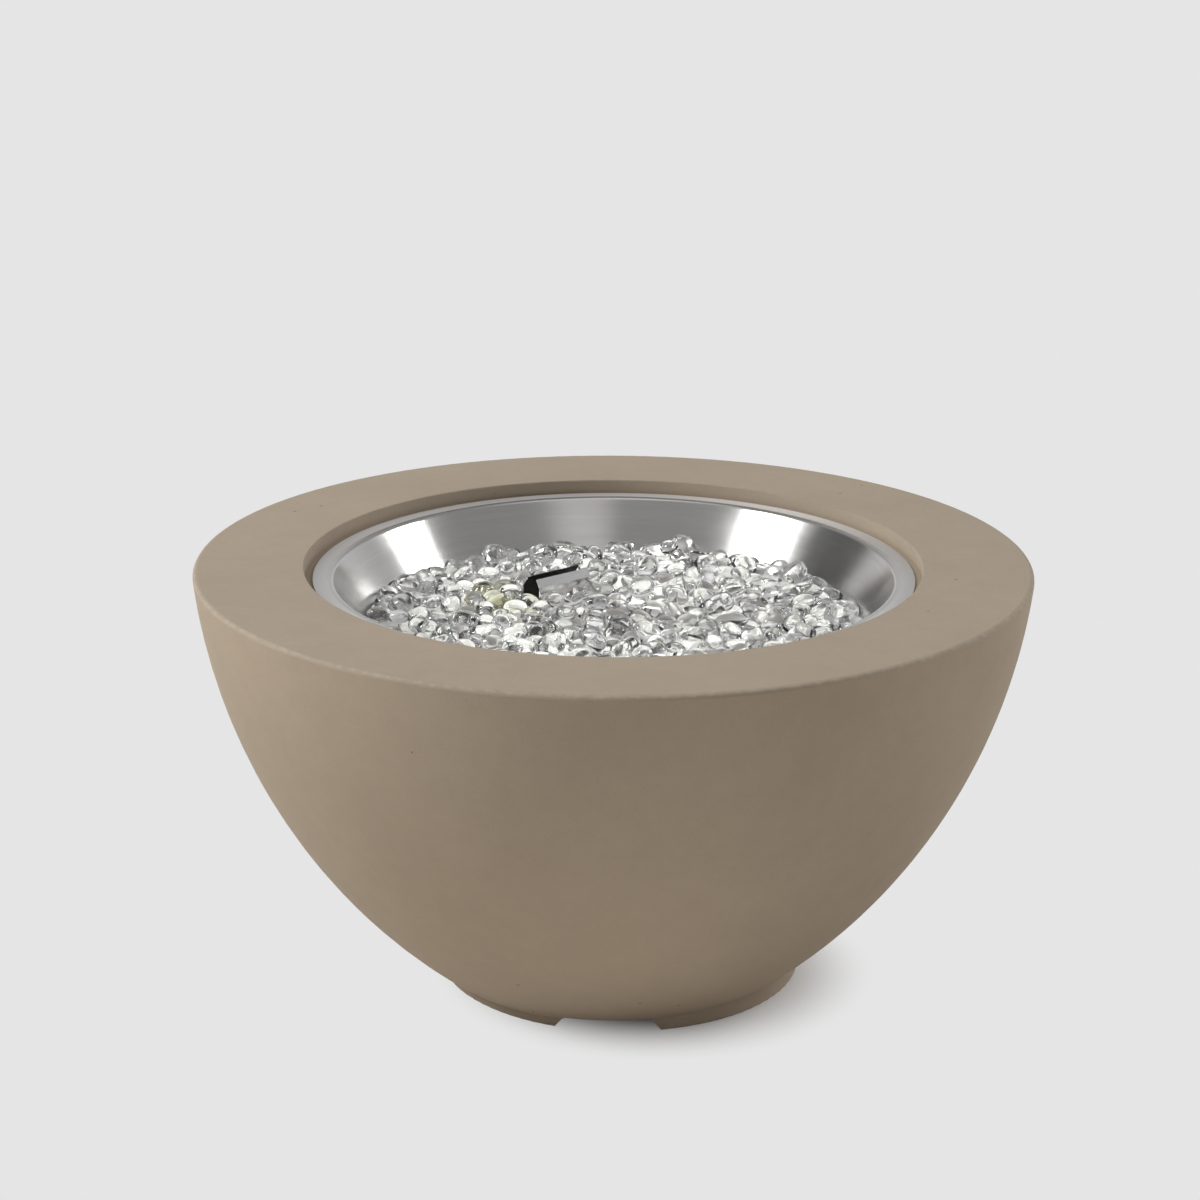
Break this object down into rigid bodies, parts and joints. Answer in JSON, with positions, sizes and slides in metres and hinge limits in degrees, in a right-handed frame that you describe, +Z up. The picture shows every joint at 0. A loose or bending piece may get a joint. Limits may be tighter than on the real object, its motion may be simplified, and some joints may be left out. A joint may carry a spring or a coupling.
{
  "type": "gas fire bowl",
  "caption": "Round cast-concrete gas fire bowl with a drop-in burner pan of fire glass, a pilot, and gas controls at the back.",
  "frame": {"origin": "centre of the base, on the surface the foot ring stands on", "axes": "+Z up along the bowl's axis, -Y towards the front, +Y towards the control plate"},
  "size_m": [0.7611, 0.761, 0.393],
  "materials": {
    "concrete": "cast glass-fibre concrete, warm taupe, fine bug holes",
    "pan_stainless": "spun stainless with circular hairlines",
    "fire_glass": "clear tumbled fire glass",
    "burner_stainless": "welded stainless tube",
    "zinc_steel": "zinc plated steel",
    "mixer_iron": "grey cast iron",
    "brass": "turned brass",
    "hose_stainless": "stainless flexible gas line",
    "hood_stainless": "folded stainless sheet",
    "black_bracket": "black heat-proof paint",
    "insulator": "fired alumina",
    "aluminium": "soft drawn aluminium tube",
    "copper": "drawn copper",
    "lead_rubber": "silicone-sheathed lead",
    "plate_stainless": "brushed stainless sheet",
    "knob_plastic": "moulded black phenolic",
    "nylon": "natural nylon",
    "igniter_plastic": "moulded black plastic",
    "battery_jacket": "plain grey jacket",
    "button_plastic": "glossy black plastic"
  },
  "bodies": {
    "bowl": {"bowl": "concrete", "control_plate": "plate_stainless", "plate_screws": "zinc_steel", "plate_inserts": "brass", "gas_valve": "brass", "valve_nut": "zinc_steel", "hose_nut_valve": "brass", "inlet_fitting": "brass", "inlet_locknut": "brass", "supply_tube": "aluminium", "tube_nuts": "brass", "igniter_body": "igniter_plastic", "igniter_nut": "igniter_plastic", "igniter_battery": "battery_jacket", "gas_hose": "hose_stainless", "pilot_tube": "aluminium", "thermocouple_lead": "copper", "igniter_lead": "lead_rubber"},
    "burner_pan": {"burner_pan": "pan_stainless", "fire_glass": "fire_glass", "ring_burner": "burner_stainless", "burner_nipple": "zinc_steel", "burner_locknut": "zinc_steel", "air_mixer": "mixer_iron", "gas_orifice": "brass", "hose_elbow": "brass", "hose_nut_mixer": "brass", "pilot_hood": "hood_stainless", "pilot_bracket": "black_bracket", "pilot_burner": "zinc_steel", "electrode_insulator": "insulator", "spark_electrode": "zinc_steel", "thermocouple": "zinc_steel", "bracket_screws": "zinc_steel"},
    "air_shutter": {"air_shutter": "zinc_steel", "shutter_screw": "zinc_steel"},
    "knob_push": {"thrust_washer": "nylon"},
    "knob": {"knob": "knob_plastic", "valve_stem": "zinc_steel", "knob_screw": "zinc_steel"},
    "igniter_button": {"igniter_button": "button_plastic"}
  },
  "joints": [
    {"name": "pan_lift", "type": "slide", "parent": "bowl", "child": "burner_pan", "axis": [0, 0, 1], "range_m": [0, 0.12], "deforming": ["gas_hose", "pilot_tube", "thermocouple_lead", "igniter_lead"]},
    {"name": "shutter_turn", "type": "hinge", "parent": "burner_pan", "child": "air_shutter", "pos_m": [0.0005, 0.0025, 0.24], "axis": [0, 0, 1], "range_deg": [0, 90]},
    {"name": "knob_push", "type": "slide", "parent": "bowl", "child": "knob_push", "axis": [0, -0.9431, 0.3325], "range_m": [0, 0.004], "stiffness_N_per_m": 800, "springref_m": -0.002},
    {"name": "knob_turn", "type": "hinge", "parent": "knob_push", "child": "knob", "pos_m": [0, 0.35445, 0.26433], "axis": [0, 0.9431, -0.3325], "range_deg": [0, 180]},
    {"name": "button_push", "type": "slide", "parent": "bowl", "child": "igniter_button", "axis": [0, -0.9431, 0.3325], "range_m": [0, 0.004], "stiffness_N_per_m": 600, "springref_m": -0.002}
  ]
}
